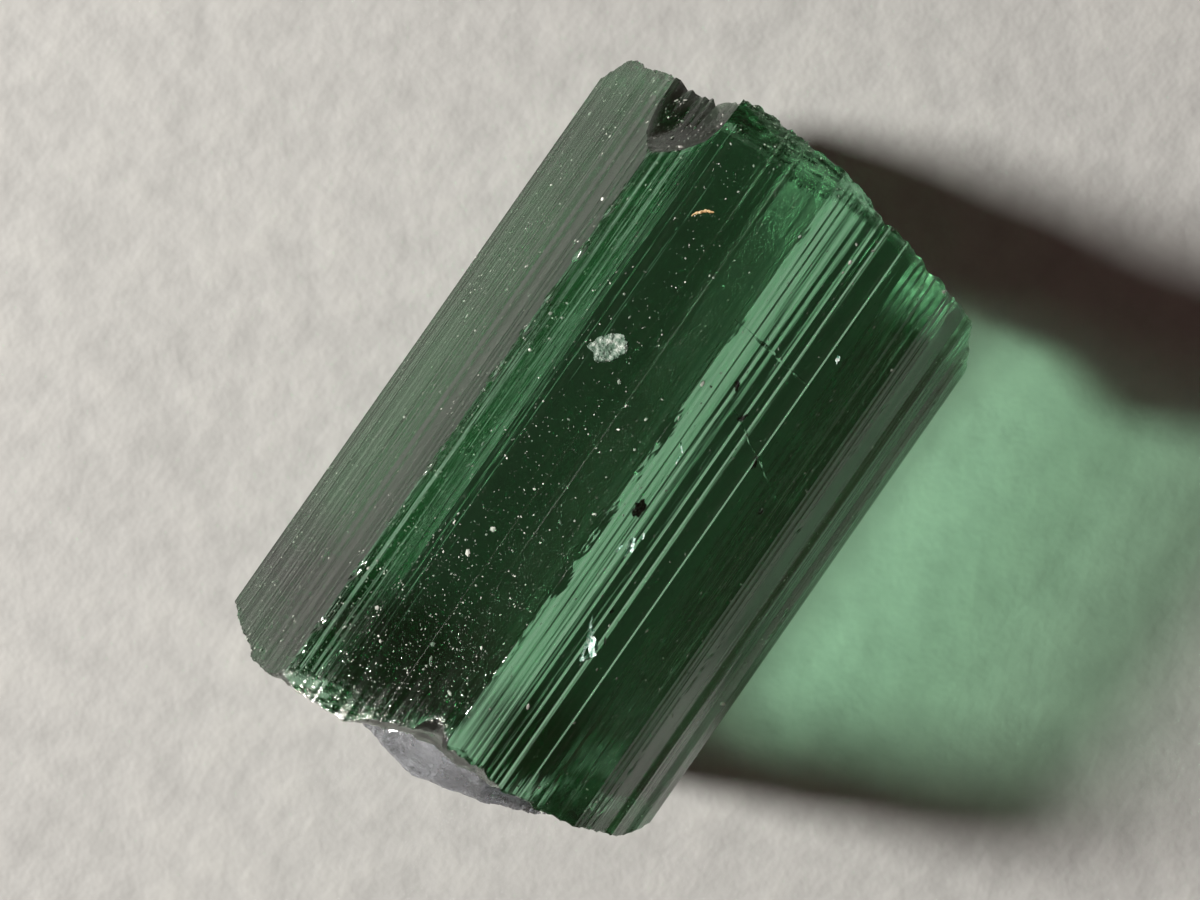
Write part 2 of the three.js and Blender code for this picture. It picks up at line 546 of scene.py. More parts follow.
def smoothStep(low, high, value):
    t = min(1.0, max(0.0, (value - low) / (high - low)))
    return t * t * (3 - 2 * t)


def wearAt(along, p):
    # how etched the surface is here and how thick its pale grains lie: dust, and on the dark face towards
    # the base also a painted highlight that lightens it where the lamp's reflection spreads; the low flank
    # is etched most
    across, up = p["outward"]
    upward = max(0.0, up)
    towardsBase = smoothStep(2.5, -6.5, along)
    cloud = 0.5 + 0.9 * noise.fractal(Vector((along * 0.9, p["around"] * 0.9, 2.0)), 0.8, 2.0, 3)
    fine = 0.5 + 0.9 * noise.fractal(Vector((along * 3.1, p["around"] * 3.1, 8.0)), 0.8, 2.0, 2)
    onDark = smoothStep(0.3, 0.45, across) * upward
    etched = 0.04 + onDark * towardsBase * (0.2 + 0.8 * cloud) + 0.08 * (1 - onDark) * cloud
    etched *= 0.3 + 0.7 * smoothStep(-7.4, -4.6, along)
    nearEdge = math.exp(-abs(p["around"] - prism["flankEdge"]) / 0.22)
    # on the dark face the pale grains grow thicker towards the base: partly dust, partly a painted highlight
    # for the lamp's spread reflection
    dustAndPaintedHighlight = 0.12 + onDark * (0.08 + 1.3 * towardsBase) * fine + 0.1 * cloud + 0.5 * nearEdge * fine
    dustAndPaintedHighlight *= upward
    if across > 0.8:
        stripe = 0.5 + 1.1 * noise.noise(Vector((along * 0.12, p["around"] * 4.5, 3.0)))
        etched = 0.7 + 2.8 * stripe + 0.8 * cloud
        dustAndPaintedHighlight = max(dustAndPaintedHighlight, 0.1 + 0.25 * fine)
    return max(0.0, etched), min(1.0, max(0.0, dustAndPaintedHighlight))


def underShadeAt(across, up, out):
    # how much lamp light the underside keeps off the paper: most at the resting face and just beyond it
    if out[1] < -0.95:
        return prism["underShade"]
    if out[1] < -0.6 and out[0] < 0:
        height = up + prism["restingFace"][1]
        return prism["underShade"] * (1 - smoothStep(1.1, 2.1, height))
    return 0.0


def buildPrismMesh(material):
    outline = sampledOutline()
    count = len(outline)
    rows = prism["rows"]
    corners = [c[0] for c in prismCorners()]
    prism["flankEdge"] = math.dist(corners[0], corners[1])
    points, around, outward, striated, broken, etched, dustAndPaintedHighlight, shaded = [], [], [], [], [], [], [], []

    def keep(along, across, up, place, out, strength, frost, wear):
        points.append((along, across, up))
        around.append(place)
        outward.append((0.0, out[0], out[1]))
        striated.append(strength)
        broken.append(frost)
        shaded.append(max(frost, underShadeAt(across, up, out)))
        etched.append(wear[0])
        dustAndPaintedHighlight.append(wear[1])

    for row in range(rows + 1):
        t = row / rows
        for p in outline:
            low, high = baseReach(p["across"], p["up"]), topReach(p["across"], p["up"])
            along = low + (high - low) * t
            across, up, bite = bittenPlace(along, p, corners)
            frost = max(0.0, 1 - min(along - low, high - along) / 0.16) * 0.6
            if bite > 0.012:
                frost = max(frost, 0.5)
            strength = p["strength"] * (0 if bite > 0.012 else 1)
            if 0 < p["around"] - prism["flankEdge"] < 1.7:
                strength *= 0.6
            wear = wearAt(along, p)
            if along - low < 0.4 and across > -0.6 and p["outward"][1] > 0.3:
                wear = (wear[0], max(wear[1], 0.9 - 2 * (along - low)))
            if frost > 0.5:
                wear = (wear[0], max(wear[1], 0.4))
            keep(along, across, up, p["around"], p["outward"], strength, frost, wear)

    faces = []
    for row in range(rows):
        for i in range(count):
            a = row * count + i
            b = row * count + (i + 1) % count
            faces.append((a, a + count, b + count, b))
    sideFaces = len(faces)

    ring = [(p["across"], p["up"]) for p in outline]
    flat, triangles, inRing = fillOutline(ring, prism["capSpacing"], 11)
    for isTop in (False, True):
        ringStart = rows * count if isTop else 0
        index = []
        for vert, ringPlace in zip(flat, inRing):
            if ringPlace is not None:
                index.append(ringStart + ringPlace)
                continue
            index.append(len(points))
            reach = topReach(vert.x, vert.y) if isTop else baseReach(vert.x, vert.y)
            # pale grains on the breaks, more on their upper parts and the low-flank side: dust, and a
            # painted highlight lightening breaks that the lamp leaves dark
            dust = smoothStep(0.0, 3.0, vert.y) * (0.7 if vert.x > -1 else 0.35)
            keep(reach, vert.x, vert.y, 0.0, (0.0, 0.0), 0.0, 1.0, (0.6, dust))
        for triangle in triangles:
            face = [index[k] for k in triangle]
            faces.append(tuple(face if isTop else reversed(face)))

    # the CAD box sets where the crystal lies along X; its lowest face lies just off the ground
    alongs = [p[0] for p in points]
    shift = (cadLow.x + cadHigh.x) / 2 / mm - (min(alongs) + max(alongs)) / 2
    prism["shift"] = Vector((shift, 0, prism["groundGap"] - min(p[2] for p in points)))
    piece = meshPiece("greenTourmaline", [Vector(p) + prism["shift"] for p in points], faces, material)
    mesh = piece.data
    faceOutwards(mesh)
    for name, values in (
        ("around", around), ("striated", striated), ("broken", broken), ("etched", etched), ("dustAndPaintedHighlight", dustAndPaintedHighlight),
        ("shaded", shaded),
    ):
        mesh.attributes.new(name, "FLOAT", "POINT").data.foreach_set("value", values)
    flatOut = np.array(outward, np.float32).ravel()
    mesh.attributes.new("outward", "FLOAT_VECTOR", "POINT").data.foreach_set("vector", flatOut)
    smooth = np.zeros(len(mesh.polygons), bool)
    smooth[sideFaces:] = True
    mesh.polygons.foreach_set("use_smooth", smooth)
    return piece


striations = {
    # bands per mm round the prism, and how far one band stands off the next, in mm
    "Broad bands per mm": 1.3,
    "Broad depth": 0.014,
    "Middle bands per mm": 3.4,
    "Middle depth": 0.011,
    "Narrow bands per mm": 8.5,
    "Narrow depth": 0.010,
    "Hairline bands per mm": 15.0,
    "Hairline depth": 0.008,
    "Wander per mm": 0.16,
    "Seed": 4.0,
}


def striationTree(material):
    # growth lines: straight steps round the prism that run its whole length and slowly fade in and out
    names = list(striations)
    tree, start, end = newTree("growthStriations", [(name, "Float") for name in names])
    around = addNode(tree, "GeometryNodeInputNamedAttribute", {"Name": "around"}, data_type="FLOAT")
    strength = addNode(tree, "GeometryNodeInputNamedAttribute", {"Name": "striated"}, data_type="FLOAT")
    outward = addNode(tree, "GeometryNodeInputNamedAttribute", {"Name": "outward"}, data_type="FLOAT_VECTOR")
    place = addNode(tree, "GeometryNodeInputPosition")
    split = addNode(tree, "ShaderNodeSeparateXYZ", {0: place.outputs[0]})
    alongMm = maths(tree, "MULTIPLY", split.outputs["X"], 1 / mm)
    slow = maths(tree, "MULTIPLY", alongMm, start.outputs["Wander per mm"])
    total = 0.0
    for k, label in enumerate(("Broad", "Middle", "Narrow", "Hairline")):
        perMm, depth = start.outputs[label + " bands per mm"], start.outputs[label + " depth"]
        count = maths(tree, "MULTIPLY", around.outputs["Attribute"], perMm)
        shifted = maths(tree, "MULTIPLY_ADD", start.outputs["Seed"], 37.0 * (k + 1), count)
        lower = maths(tree, "FLOOR", shifted)
        upper = maths(tree, "ADD", lower, 1.0)
        here = addNode(tree, "ShaderNodeTexWhiteNoise", {"W": lower}, noise_dimensions="1D")
        there = addNode(tree, "ShaderNodeTexWhiteNoise", {"W": upper}, noise_dimensions="1D")
        level = addNode(tree, "ShaderNodeMix", {
            "Factor": maths(tree, "FRACT", shifted), 2: here.outputs["Value"], 3: there.outputs["Value"],
        }, data_type="FLOAT")
        centred = maths(tree, "SUBTRACT", level.outputs[0], 0.5)
        where = addNode(tree, "ShaderNodeCombineXYZ", {0: slow, 1: count, 2: 3.1 * k})
        fade = addNode(tree, "ShaderNodeTexNoise", {
            "Vector": where.outputs[0], "Scale": 0.8, "Detail": 1.0,
        })
        fading = addNode(tree, "ShaderNodeMapRange", {
            "Value": fade.outputs["Fac"], "From Min": 0.3, "From Max": 0.7, "To Min": 0.25, "To Max": 1.7,
        })
        step = maths(tree, "MULTIPLY", centred, depth)
        band = maths(tree, "MULTIPLY", step, fading.outputs["Result"])
        total = maths(tree, "ADD", total, band)
    scaled = maths(tree, "MULTIPLY", total, strength.outputs["Attribute"])
    metres = maths(tree, "MULTIPLY", scaled, 2 * mm)
    offset = addNode(tree, "ShaderNodeVectorMath", {
        0: outward.outputs["Attribute"], "Scale": metres,
    }, operation="SCALE")
    moved = addNode(tree, "GeometryNodeSetPosition", {
        "Geometry": start.outputs["Geometry"], "Offset": offset.outputs[0],
    })
    real = addNode(tree, "GeometryNodeRealizeInstances", {"Geometry": moved.outputs[0]})
    dressed = addNode(tree, "GeometryNodeSetMaterial", {
        "Geometry": real.outputs[0], "Material": material,
    })
    tree.links.new(dressed.outputs[0], end.inputs["Geometry"])
    return tree


glass = {
    "ior": 1.63,            # green tourmaline, mean of 1.62 and 1.64
    "density": 186.0,       # per metre
    "passes": "#9edfba",    # what white light keeps on its way through
    "dustSheen": 0.1,      # a film of fine dust, seen where a face turns away
    "lampShare": 1.0,       # how much lamp light each face lets into the shadow
    "shadeFrom": 8.4,       # mm above the ground, where the top ridge starts to hold it back
    "shadeTo": 9.5,
}


def tourmalineMaterial():
    # green tourmaline, natural prism faces and shell-like breaks: glassy, deep green by its own thickness,
    # with hairline growth lines, sparse bright pits, a cloudy etch towards the base and a frosted break
    material, tree, shader, output = newMaterial("greenTourmalineNaturalFaces")
    coords = addNode(tree, "ShaderNodeTexCoord")
    broken = addNode(tree, "ShaderNodeAttribute", attribute_name="broken")
    striated = addNode(tree, "ShaderNodeAttribute", attribute_name="striated")
    etched = addNode(tree, "ShaderNodeAttribute", attribute_name="etched")
    around = addNode(tree, "ShaderNodeAttribute", attribute_name="around")
    shaded = addNode(tree, "ShaderNodeAttribute", attribute_name="shaded")
    split = addNode(tree, "ShaderNodeSeparateXYZ", {0: coords.outputs["Object"]})

    # roughness: a fine mottle, more where etched, most on the breaks
    mottle = addNode(tree, "ShaderNodeTexNoise", {
        "Vector": coords.outputs["Object"], "Scale": 2600.0, "Detail": 4.0, "Roughness": 0.65,
    })
    patchy = addNode(tree, "ShaderNodeMapRange", {
        "Value": mottle.outputs["Fac"], "From Min": 0.35, "From Max": 0.7, "To Min": 0.3, "To Max": 1.6,
    })
    etchDepth = maths(tree, "MULTIPLY", etched.outputs["Fac"], patchy.outputs["Result"])
    rough = maths(tree, "MULTIPLY_ADD", etchDepth, 0.045, 0.03)
    rough = maths(tree, "MULTIPLY_ADD", broken.outputs["Fac"], 0.06, rough)

    # heights in micrometres: hairlines that run the length of the prism
    lengthwise = maths(tree, "MULTIPLY", split.outputs["X"], 350.0)
    lineCount = maths(tree, "MULTIPLY", around.outputs["Fac"], 19.0)
    lineCoords = addNode(tree, "ShaderNodeCombineXYZ", {0: lengthwise, 1: lineCount})
    hairlines = addNode(tree, "ShaderNodeTexNoise", {
        "Vector": lineCoords.outputs[0], "Scale": 1.0, "Detail": 2.0, "Roughness": 0.6,
    })
    lineDepth = maths(tree, "MULTIPLY", striated.outputs["Fac"], 7.0)
    height = maths(tree, "MULTIPLY", hairlines.outputs["Fac"], lineDepth)
    # sparse etch pits, a few hundredths of a millimetre wide
    drawnOut = addNode(tree, "ShaderNodeVectorMath", {
        0: coords.outputs["Object"], 1: (0.45, 1.0, 1.0),
    }, operation="MULTIPLY")
    pits = addNode(tree, "ShaderNodeTexVoronoi", {"Vector": drawnOut.outputs[0], "Scale": 19000.0})
    bowl = addNode(tree, "ShaderNodeMapRange", {
        "Value": pits.outputs["Distance"], "From Min": 0.05, "From Max": 0.4, "To Min": -1.8, "To Max": 0.0,
    }, interpolation_type="SMOOTHSTEP")
    pick = addNode(tree, "ShaderNodeSeparateColor", {0: pits.outputs["Color"]})
    threshold = maths(tree, "MULTIPLY_ADD", etched.outputs["Fac"], -0.25, 0.97)
    chosen = maths(tree, "GREATER_THAN", pick.outputs[0], threshold)
    height = maths(tree, "MULTIPLY_ADD", bowl.outputs["Result"], chosen, height)
    # the grain of the breaks and of the etched skin
    grain = addNode(tree, "ShaderNodeTexNoise", {
        "Vector": coords.outputs["Object"], "Scale": 5200.0, "Detail": 6.0, "Roughness": 0.7,
    })
    grainDepth = maths(tree, "MULTIPLY_ADD", broken.outputs["Fac"], 12.0, 0.2)
    grainDepth = maths(tree, "MULTIPLY_ADD", etched.outputs["Fac"], 0.5, grainDepth)
    height = maths(tree, "MULTIPLY_ADD", grain.outputs["Fac"], grainDepth, height)
    bump = addNode(tree, "ShaderNodeBump", {"Strength": 1.0, "Distance": 0.000001, "Height": height})

    tree.links.new(rough, shader.inputs["Roughness"])
    tree.links.new(bump.outputs["Normal"], shader.inputs["Normal"])
    shader.inputs["Base Color"].default_value = (1, 1, 1, 1)
    shader.inputs["Transmission Weight"].default_value = 1.0
    shader.inputs["IOR"].default_value = glass["ior"]
    shader.inputs["Sheen Weight"].default_value = glass["dustSheen"]
    shader.inputs["Sheen Roughness"].default_value = 0.45
    shader.inputs["Sheen Tint"].default_value = srgb("#c3e0c6")
    absorb = addNode(tree, "ShaderNodeVolumeAbsorption")
    absorb.inputs["Color"].default_value = srgb(glass["passes"])
    absorb.inputs["Density"].default_value = glass["density"]
    tree.links.new(absorb.outputs[0], output.inputs["Volume"])

    # lamp light goes through the smooth faces, tinted on its way, and stops at the breaks and the top ridge
    rays = addNode(tree, "ShaderNodeLightPath")
    high = addNode(tree, "ShaderNodeMapRange", {
        "Value": split.outputs["Z"], "From Min": glass["shadeFrom"] * mm, "From Max": glass["shadeTo"] * mm,
        "To Min": glass["lampShare"], "To Max": 0.0,
    }, interpolation_type="SMOOTHSTEP")
    whole = maths(tree, "SUBTRACT", 1.0, shaded.outputs["Fac"])
    lets = maths(tree, "MULTIPLY", high.outputs["Result"], whole)
    lets = maths(tree, "MULTIPLY", lets, rays.outputs["Is Shadow Ray"])
    clear = addNode(tree, "ShaderNodeBsdfTransparent")
    through = addNode(tree, "ShaderNodeMixShader", {0: lets, 1: shader.outputs[0], 2: clear.outputs[0]})
    tree.links.new(through.outputs[0], output.inputs["Surface"])
    return material


greenTourmaline = tourmalineMaterial()
crystal = buildPrismMesh(greenTourmaline)
bakeNodes(crystal, striationTree(greenTourmaline), striations)
print("crystal:", len(crystal.data.polygons), "faces, rows", prism["rows"])


splinter = {
    "planes": [
        ((-7.78, -0.3, 0.6), (-1, 0.22, 0.02)),
        ((-7.78, -0.3, 0.6), (-1, -0.3, 0.02)),
        ((-7.6, 0, 1.75), (-0.42, 0.02, 0.9)),
        ((-7.45, 0, -2.0), (-0.5, 0, -0.85)),
    ],
    "balls": [],
    "centre": (-0.95, -0.15),   # across and up
    "halfSize": (2.75, 2.5),
    "spacing": 0.07,
    "airGap": 0.018,            # mm between it and the green break, which makes it shine like silver
    "fluteDepth": 0.035,
    "flutesPerMm": 3.2,
}


def paleSplinterMaterial():
    # colourless tourmaline, cracked all through: clear but silvery, with wet-looking edges
    material, tree, shader, output = newMaterial("paleCrackedTourmaline")
    coords = addNode(tree, "ShaderNodeTexCoord")
    clouds = addNode(tree, "ShaderNodeTexNoise", {
        "Vector": coords.outputs["Object"], "Scale": 1900.0, "Detail": 5.0, "Roughness": 0.65,
    })
    rough = addNode(tree, "ShaderNodeMapRange", {
        "Value": clouds.outputs["Fac"], "From Min": 0.35, "From Max": 0.65, "To Min": 0.04, "To Max": 0.3,
    })
    frost = addNode(tree, "ShaderNodeMapRange", {
        "Value": clouds.outputs["Fac"], "From Min": 0.45, "From Max": 0.7, "To Min": 0.0, "To Max": 18.0,
    })
    bump = addNode(tree, "ShaderNodeBump", {
        "Strength": 1.0, "Distance": 0.000001, "Height": frost.outputs["Result"],
    })
    tree.links.new(rough.outputs["Result"], shader.inputs["Roughness"])
    tree.links.new(bump.outputs["Normal"], shader.inputs["Normal"])
    shader.inputs["Base Color"].default_value = srgb("#eef1f8")
    shader.inputs["Transmission Weight"].default_value = 0.86
    shader.inputs["IOR"].default_value = glass["ior"]
    absorb = addNode(tree, "ShaderNodeVolumeAbsorption")
    absorb.inputs["Color"].default_value = srgb("#cfd6e6")
    absorb.inputs["Density"].default_value = 90.0
    tree.links.new(absorb.outputs[0], output.inputs["Volume"])
    return material


def buildSplinter():
    def back(across, up):
        return baseReach(across, up) - splinter["airGap"]

    def front(across, up):
        flute = noise.noise(Vector((across * splinter["flutesPerMm"], up * 0.9, 5.5)))
        flute += 0.2 * noise.noise(Vector((across * 8, up * 5, 1.5)))
        reach = endSurface(splinter, across, up, -1) + splinter["fluteDepth"] * (1 + flute)
        return min(reach, back(across, up) - 0.03)

    def place(across, up, along):
        return Vector((along, across, up)) + prism["shift"]

    ring = raggedRing(splinter["centre"], *splinter["halfSize"], 3.3, 0.12, 90)
    points, faces = slabShape(ring, splinter["spacing"], 5, front, back, place)
    piece = meshPiece("paleSplinter", points, faces, paleSplinterMaterial())
    faceOutwards(piece.data)
    piece.data.shade_smooth()
    return piece


paleSplinter = buildSplinter()
print("splinter:", len(paleSplinter.data.polygons), "faces")


def faceFrame(face, along, across):
    # a point on a prism face over a ground place, with the directions along, down and out of the face
    turn = math.radians(prism[face][0])
    up = (prism[face][1] - across * math.cos(turn)) / math.sin(turn)
    origin = Vector((along, across, up)) + prism["shift"]
    downhill = Vector((0, math.sin(turn), -math.cos(turn)))
    outward = Vector((0, math.cos(turn), math.sin(turn)))
    return origin, Vector((1, 0, 0)), downhill, outward


# dark specks of mica shut in just under the bright face: along, across, depth and half sizes, all in mm
inclusions = [
    {"along": -0.39, "across": -0.93, "depth": 0.22, "halfSize": (0.17, 0.1)},
    {"along": 2.5, "across": -1.12, "depth": 0.16, "halfSize": (0.1, 0.07)},
    {"along": 2.12, "across": -1.58, "depth": 0.2, "halfSize": (0.13, 0.06)},
    {"along": 1.6, "across": -2.3, "depth": 0.22, "halfSize": (0.15, 0.06)},
    {"along": 0.9, "across": -3.0, "depth": 0.25, "halfSize": (0.08, 0.05)},
    {"along": -2.3, "across": -1.7, "depth": 0.3, "halfSize": (0.05, 0.03)},
]


def darkMicaMaterial():
    # black mica shut in the crystal: nearly black with a faint brown mottle and a dull sheen
    material, shader = mottledMaterial(
        "blackMicaInclusion", {"Scale": 12000.0, "Detail": 4.0},
        [(0.4, "#0d0f0b"), (0.62, "#3a3a2c")],
        0.35, {"Strength": 0.6, "Distance": 0.000008},
    )
    return material


def joinedShapes(shapes):
    # several point and face lists as one
    points, faces = [], []
    for morePoints, moreFaces in shapes:
        start = len(points)
        points += morePoints
        faces += [tuple(k + start for k in face) for face in moreFaces]
    return points, faces


def buildInclusions():
    shapes = []
    for k, speck in enumerate(inclusions):
        origin, alongWay, downhill, outward = faceFrame("brightFace", speck["along"], speck["across"])
        origin = origin - outward * speck["depth"]
        tilt = 0.5 * math.sin(k * 2.4)

        def place(u, v, height):
            return origin + alongWay * u + downhill * (v + tilt * u) + outward * height

        def top(u, v):
            return 0.035 * (1 + noise.noise(Vector((u * 14, v * 14, k))))

        ring = raggedRing((0, 0), *speck["halfSize"], 2.7 + k, 0.3, 36)
        shapes.append(slabShape(ring, 0.022, k, top, lambda u, v: -0.03, place))
    points, faces = joinedShapes(shapes)
    piece = meshPiece("micaInclusions", points, faces, darkMicaMaterial())
    faceOutwards(piece.data)
    return piece


micaInclusions = buildInclusions()
print("inclusions:", len(micaInclusions.data.polygons), "faces")


# silvery films where healed cracks come out at the bright face; their silvery look is a painted glint, pale
# colour on thin sheets: along, across, depth under it, half sizes
films = [
    {"middle": (-2.95, -1.55, 0.015), "halfSize": (0.3, 0.1), "turn": 20},
    {"middle": (-3.15, -1.72, 0.015), "halfSize": (0.2, 0.08), "turn": -25},
    {"middle": (-3.3, -1.62, 0.015), "halfSize": (0.1, 0.05), "turn": 60},
    {"middle": (-2.7, -1.4, 0.015), "halfSize": (0.12, 0.03), "turn": 40},
    {"middle": (-1.05, -1.15, 0.015), "halfSize": (0.17, 0.07), "turn": 10},
    {"middle": (-1.25, -1.0, 0.015), "halfSize": (0.1, 0.035), "turn": -40},
    {"middle": (-0.8, -1.25, 0.015), "halfSize": (0.08, 0.03), "turn": 30},
    {"middle": (1.0, -0.85, 0.015), "halfSize": (0.12, 0.02), "turn": 70},
    {"middle": (0.75, -0.95, 0.015), "halfSize": (0.08, 0.02), "turn": 15},
    {"middle": (4.1, -2.4, 0.015), "halfSize": (0.07, 0.025), "turn": 35},
]
# the films are turned towards the lamp so that it lights their painted-glint colour
filmFacing = (-0.2, 0.42, 0.88)     # the way the films look


def crackFilmPaintedGlintMaterial():
    # a healed crack's film with a painted glint: pale blue-green to near white, satin, with fine bright
    # veins
    material, shader = mottledMaterial(
        "crackFilmPaintedGlint", {"Scale": 16000.0, "Detail": 4.0},
        [(0.4, "#6fae97"), (0.5, "#c6efe4"), (0.6, "#f8ffff")],
        0.25, {"Strength": 0.5, "Distance": 0.000004},
    )
    return material


def buildFilms():
    # thin pale sheets at the bright face, whose colour paints the glint of healed cracks
    shapes = []
    for k, film in enumerate(films):
        along, across, depth = film["middle"]
        origin, alongWay, downhill, outward = faceFrame("brightFace", along, across)
        turn = math.radians(film["turn"])
        facing = Vector(filmFacing).normalized()
        run = alongWay * math.cos(turn) + downhill * math.sin(turn)
        run = (run - facing * run.dot(facing)).normalized()
        side = facing.cross(run)
        middle = origin - outward * depth

        def place(u, v, height):
            return middle + run * u + side * v + facing * height

        def wave(u, v):
            return 0.03 * noise.noise(Vector((u * 9, v * 9, k)))

        ring = raggedRing((0, 0), *film["halfSize"], 5.7 + k, 0.6, 40)
        shapes.append(slabShape(ring, 0.02, k, lambda u, v: wave(u, v) + 0.004, wave, place))
    points, faces = joinedShapes(shapes)
    piece = meshPiece("crackFilmsPaintedGlint", points, faces, crackFilmPaintedGlintMaterial())
    faceOutwards(piece.data)
    return piece


crackFilmsPaintedGlint = buildFilms()
print("films:", len(crackFilmsPaintedGlint.data.polygons), "faces")


# healed cracks: thin hollows inside the crystal. "middle" is along, across and depth under the bright face;
# "run" and "facing" are the way the crack runs and the way its wall looks
cracks = [
    {
        "middle": (1.75, -2.2, 0.3), "halfSize": (1.3, 0.17),
        "run": (-0.37, -0.75, -0.55), "facing": (0.9, -0.4, -0.05),
    },
    {
        "middle": (3.42, -1.45, 0.28), "halfSize": (0.85, 0.13),
        "run": (-0.05, -0.86, -0.5), "facing": (1, 0, -0.1),
    },
]
crackGap = 0.004        # mm, half the hollow's thickness at its middle


def buildCracks(host):
    # each crack's two walls join the crystal's own surface, facing into the hollow
    shapes = []
    for k, crack in enumerate(cracks):
        along, across, depth = crack["middle"]
        origin, alongWay, downhill, outward = faceFrame("brightFace", along, across)
        facing = Vector(crack["facing"]).normalized()
        run = Vector(crack["run"])
        run = (run - facing * run.dot(facing)).normalized()
        sink = facing.cross(run)
        centre = origin - outward * depth
        halfLong, halfDeep = crack["halfSize"]

        def wave(u, v):
            return 0.05 * noise.noise(Vector((u * 2.2, v * 2.2, k))) + 0.008 * math.sin(u * 26 + 3 * v)

        def gapAt(u, v):
            rim = max(0.0, 1 - (u / halfLong) ** 2 - (v / halfDeep) ** 2)
            return crackGap * (0.3 + rim)

        def place(u, v, height):
            return centre + run * u + sink * v + facing * height

        ring = raggedRing((0, 0), halfLong, halfDeep, 8.3 + k, 0.4, 48)
        shapes.append(slabShape(
            ring, max(0.03, halfDeep / 9), k,
            lambda u, v: wave(u, v) + gapAt(u, v), lambda u, v: wave(u, v) - gapAt(u, v), place,
        ))
    points, faces = joinedShapes(shapes)
    hollow = meshPiece("hollow", points, faces, greenTourmaline)
    faceOutwards(hollow.data)
    hollow.data.flip_normals()
    together = bmesh.new()
    together.from_mesh(host.data)
    together.from_mesh(hollow.data)
    together.to_mesh(host.data)
    together.free()
    bpy.data.objects.remove(hollow)


buildCracks(crystal)
print("cracks:", len(cracks))


crust = {
    "along": 1.78,
    "across": 1.31,
    "halfSize": (0.43, 0.27),
    "turn": -58.0,          # degrees from the long axis
    "height": 0.06,         # mm, its thickest lumps
    "lumpsPerMm": 6.0,
    "spacing": 0.014,
}


def crustMaterial():
    # pale mica and clay crust: dry and matt, grey-white with greenish hollows and small bright flakes
    material, shader = mottledMaterial(
        "paleMicaCrust", {"Scale": 9000.0, "Detail": 5.0, "Roughness": 0.6},
        [(0.36, "#3f5f4c"), (0.5, "#71877a"), (0.66, "#bcc6be")],
        {"From Min": 0.4, "From Max": 0.65, "To Min": 0.7, "To Max": 0.25},
        {"Strength": 0.8, "Distance": 0.000007},
    )
    shader.inputs["IOR"].default_value = 1.56
    return material


def buildCrust(material):
    origin, alongWay, downhill, outward = faceFrame("darkFace", crust["along"], crust["across"])
    ring = raggedRing((0, 0), *crust["halfSize"], 6.1, 0.17, 90)
    turn = math.radians(crust["turn"])

    def top(u, v):
        lump = noise.fractal(Vector((u, v, 0.4)) * crust["lumpsPerMm"], 0.7, 2.2, 4)
        return crust["height"] * (0.35 + 0.8 * max(-0.2, lump))

    def place(u, v, height):
        turned = (alongWay * math.cos(turn) + downhill * math.sin(turn)) * u
        turned += (downhill * math.cos(turn) - alongWay * math.sin(turn)) * v
        return origin + turned + outward * height

    points, faces = slabShape(ring, crust["spacing"], 7, top, lambda u, v: -0.02, place)
    piece = meshPiece("paleCrust", points, faces, material)
    faceOutwards(piece.data)
    return piece


crustPale = crustMaterial()
paleCrust = buildCrust(crustPale)
print("crust:", len(paleCrust.data.polygons), "faces")


lint = {
    # where (along, across), length, thickness and bend in mm, and the turn from the long axis in degrees
    "strands": [
        ((4.86, 1.27), 0.46, 0.06, -0.07, 55),
    ],
    "rings": 26,
    "sides": 10,
}


def lintMaterial():
    # a scrap of tan plant fibre: matt, with darker nodes along it
    material, shader = mottledMaterial(
        "tanPlantFibre", {"Scale": 14000.0, "Detail": 3.0},
        [(0.35, "#a07a4e"), (0.5, "#d3b280"), (0.65, "#efe0ba")],
        0.6, {"Strength": 0.5, "Distance": 0.000004},
    )
    return material


def fibreStrand(start, length, thickness, bend, turn):
    # one tapering strand that starts at a place on the dark face
    origin, alongWay, downhill, outward = faceFrame("darkFace", *start)
    angle = math.radians(turn)
    forward = alongWay * math.cos(angle) - downhill * math.sin(angle)
    sideways = forward.cross(outward)
    rings, sides = lint["rings"], lint["sides"]
    points, faces = [], []
    for k in range(rings):
        t = 2 * k / (rings - 1) - 1
        centre = origin + forward * (t * length / 2)
        centre += sideways * (bend * (1 - t * t) + 0.1 * bend * math.sin(t * 7))
        centre += outward * (thickness * 0.55 + 0.03 * t * t)
        radius = thickness / 2 * (1 - 0.75 * abs(t) ** 5) * (1 + 0.22 * math.sin(t * 17 + turn))
        for i in range(sides):
            around = 2 * math.pi * i / sides
            points.append(centre + (sideways * math.cos(around) + outward * math.sin(around)) * radius)
    for k in range(rings - 1):
        for i in range(sides):
            a, b = k * sides + i, k * sides + (i + 1) % sides
            faces.append((a, b, b + sides, a + sides))
    faces.append(tuple(range(sides)))
    faces.append(tuple(range(len(points) - sides, len(points))))
    return points, faces


def buildLint():
    points, faces = joinedShapes([fibreStrand(*strand) for strand in lint["strands"]])
    piece = meshPiece("lintFibre", points, faces, lintMaterial())
    faceOutwards(piece.data)
    piece.data.shade_smooth()
    return piece


lintFibre = buildLint()
print("lint:", len(lintFibre.data.polygons), "faces")


specks = {
    "Per square mm": 150.0,
    "Smallest": 0.009,      # mm, half across
    "Largest": 0.026,
    "Seed": 12,
}
flakes = {
    "Per square mm": 3.6,
    "Smallest": 0.03,
    "Largest": 0.075,
    "Seed": 31,
}


